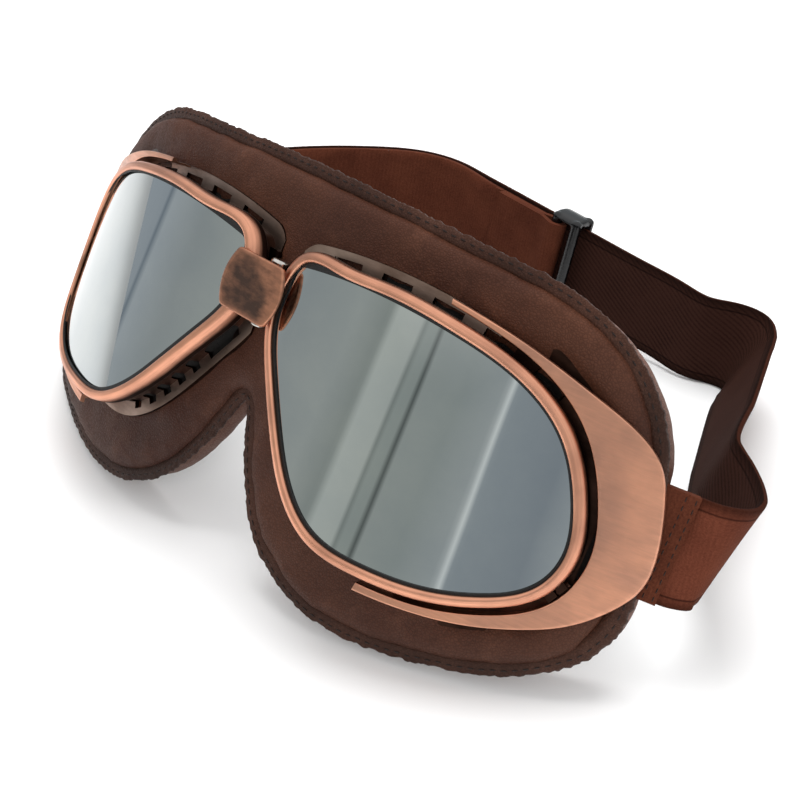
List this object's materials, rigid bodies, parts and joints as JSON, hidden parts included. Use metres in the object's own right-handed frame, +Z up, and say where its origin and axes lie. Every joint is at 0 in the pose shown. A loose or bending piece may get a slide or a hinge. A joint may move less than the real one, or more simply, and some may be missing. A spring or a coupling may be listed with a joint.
{
  "type": "aviator flying goggles",
  "caption": "Leather-padded aviator flying goggles with mirrored curved lenses, copper frames, side wings, a folding bridge hinge and an elastic strap with a slider",
  "frame": {"origin": "centre of the bounding box's underside, on the table the goggles stand on", "axes": "+X to the viewer's right along the goggles' width, +Y back from the lenses towards the head strap, +Z up"},
  "size_m": [0.2128, 0.152, 0.085],
  "materials": {
    "mirror_lens": "silver mirror coating, glossy",
    "gasket_rubber": "matt black",
    "brushed_copper": "antique copper plate, brushed satin",
    "dark_copper": "antique copper plate, dark patina",
    "bright_pin": "polished",
    "pad_leather": "grained dark brown, satin",
    "pad_lining": "soft brushed lining over foam",
    "strap_webbing": "ribbed elastic webbing, matt",
    "black_plastic": "moulded, glossy"
  },
  "bodies": {
    "left_half": {"left_lens": "mirror_lens", "left_gasket": "gasket_rubber", "left_bezel": "brushed_copper", "left_rim_clamp": "brushed_copper", "left_rim_screw": "bright_pin", "left_eyecup": "dark_copper", "left_wing": "brushed_copper", "left_wing_studs": "dark_copper", "left_strap_bar": "dark_copper", "left_strap_end": "strap_webbing", "left_pad_leather": "pad_leather", "left_pad_foam": "pad_lining", "left_pad_seam": "pad_leather", "nose_pad": "pad_leather", "nose_seam": "pad_leather", "hinge_left": "dark_copper", "hinge_pin": "bright_pin", "bridge_plate": "brushed_copper", "bridge_posts": "dark_copper", "strap_right": "strap_webbing", "strap_corner": "strap_webbing", "strap_back": "strap_webbing", "strap_left": "strap_webbing", "strap_return": "strap_webbing"},
    "right_half": {"right_lens": "mirror_lens", "right_gasket": "gasket_rubber", "right_bezel": "brushed_copper", "right_rim_clamp": "brushed_copper", "right_rim_screw": "bright_pin", "right_eyecup": "dark_copper", "right_wing": "brushed_copper", "right_wing_studs": "dark_copper", "right_strap_bar": "dark_copper", "right_strap_end": "strap_webbing", "right_pad_leather": "pad_leather", "right_pad_foam": "pad_lining", "right_pad_seam": "pad_leather", "hinge_right": "dark_copper"},
    "slider": {"slider_frame": "black_plastic", "strap_tail": "strap_webbing"}
  },
  "joints": [
    {"name": "bridge_fold", "type": "hinge", "parent": "left_half", "child": "right_half", "pos_m": [-0.00044, -0.05084, 0.06108], "axis": [0, 0.518, 0.8554], "range_deg": [0, 20], "deforming": ["nose_pad", "nose_seam", "strap_right"]},
    {"name": "slider_slide", "type": "slide", "parent": "left_half", "child": "slider", "axis": [-0.996, 0, 0.0895], "range_m": [-0.01, 0.01], "deforming": ["strap_return"]}
  ]
}
